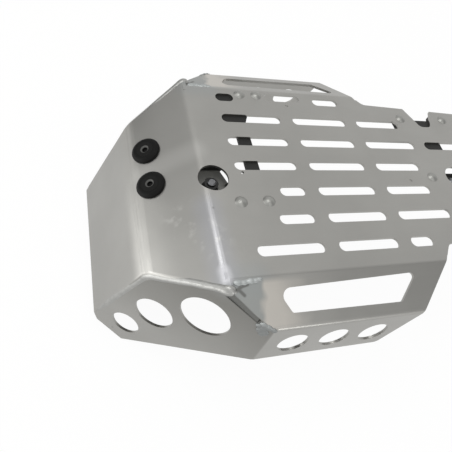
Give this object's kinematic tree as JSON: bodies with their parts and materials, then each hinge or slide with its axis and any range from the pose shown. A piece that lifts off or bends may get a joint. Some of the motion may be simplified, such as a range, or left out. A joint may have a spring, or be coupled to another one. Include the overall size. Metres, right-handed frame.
{
  "type": "motorcycle skid plate",
  "caption": "Folded and welded aluminium skid plate for a motorcycle, with a slotted belly panel, sloped nose, windowed sides, drilled cheeks and riveted black steel stud brackets.",
  "frame": {"origin": "midway between the two mounting studs, in the plane of their lower nuts' seats", "axes": "+Z out of the skid face, +X from the nose to the tail, +Y across the plate; the plate lies upside down, skid face up, as on a bench"},
  "size_m": [0.4544, 0.311, 0.1506],
  "materials": {
    "tray_aluminium": "satin mill finish, ground welds",
    "rivet_aluminium": "satin",
    "bracket_black": "matt black powder coat",
    "black_steel": "black oxide",
    "black_anodised": "black, semi-matt",
    "zinc_steel": "zinc plated"
  },
  "bodies": {
    "root": {"skid_plate": "tray_aluminium", "front_bracket": "bracket_black", "rear_bracket": "bracket_black", "front_rivets": "rivet_aluminium", "rear_rivets": "rivet_aluminium", "front_stud": "zinc_steel", "rear_stud": "zinc_steel", "front_stud_nuts": "black_steel", "rear_stud_nuts": "black_steel", "front_stud_washers": "black_steel", "rear_stud_washers": "black_steel", "nose_screws": "black_steel", "nose_cup_washers": "black_anodised", "nose_washers": "zinc_steel", "nose_nuts": "zinc_steel"}
  },
  "joints": []
}
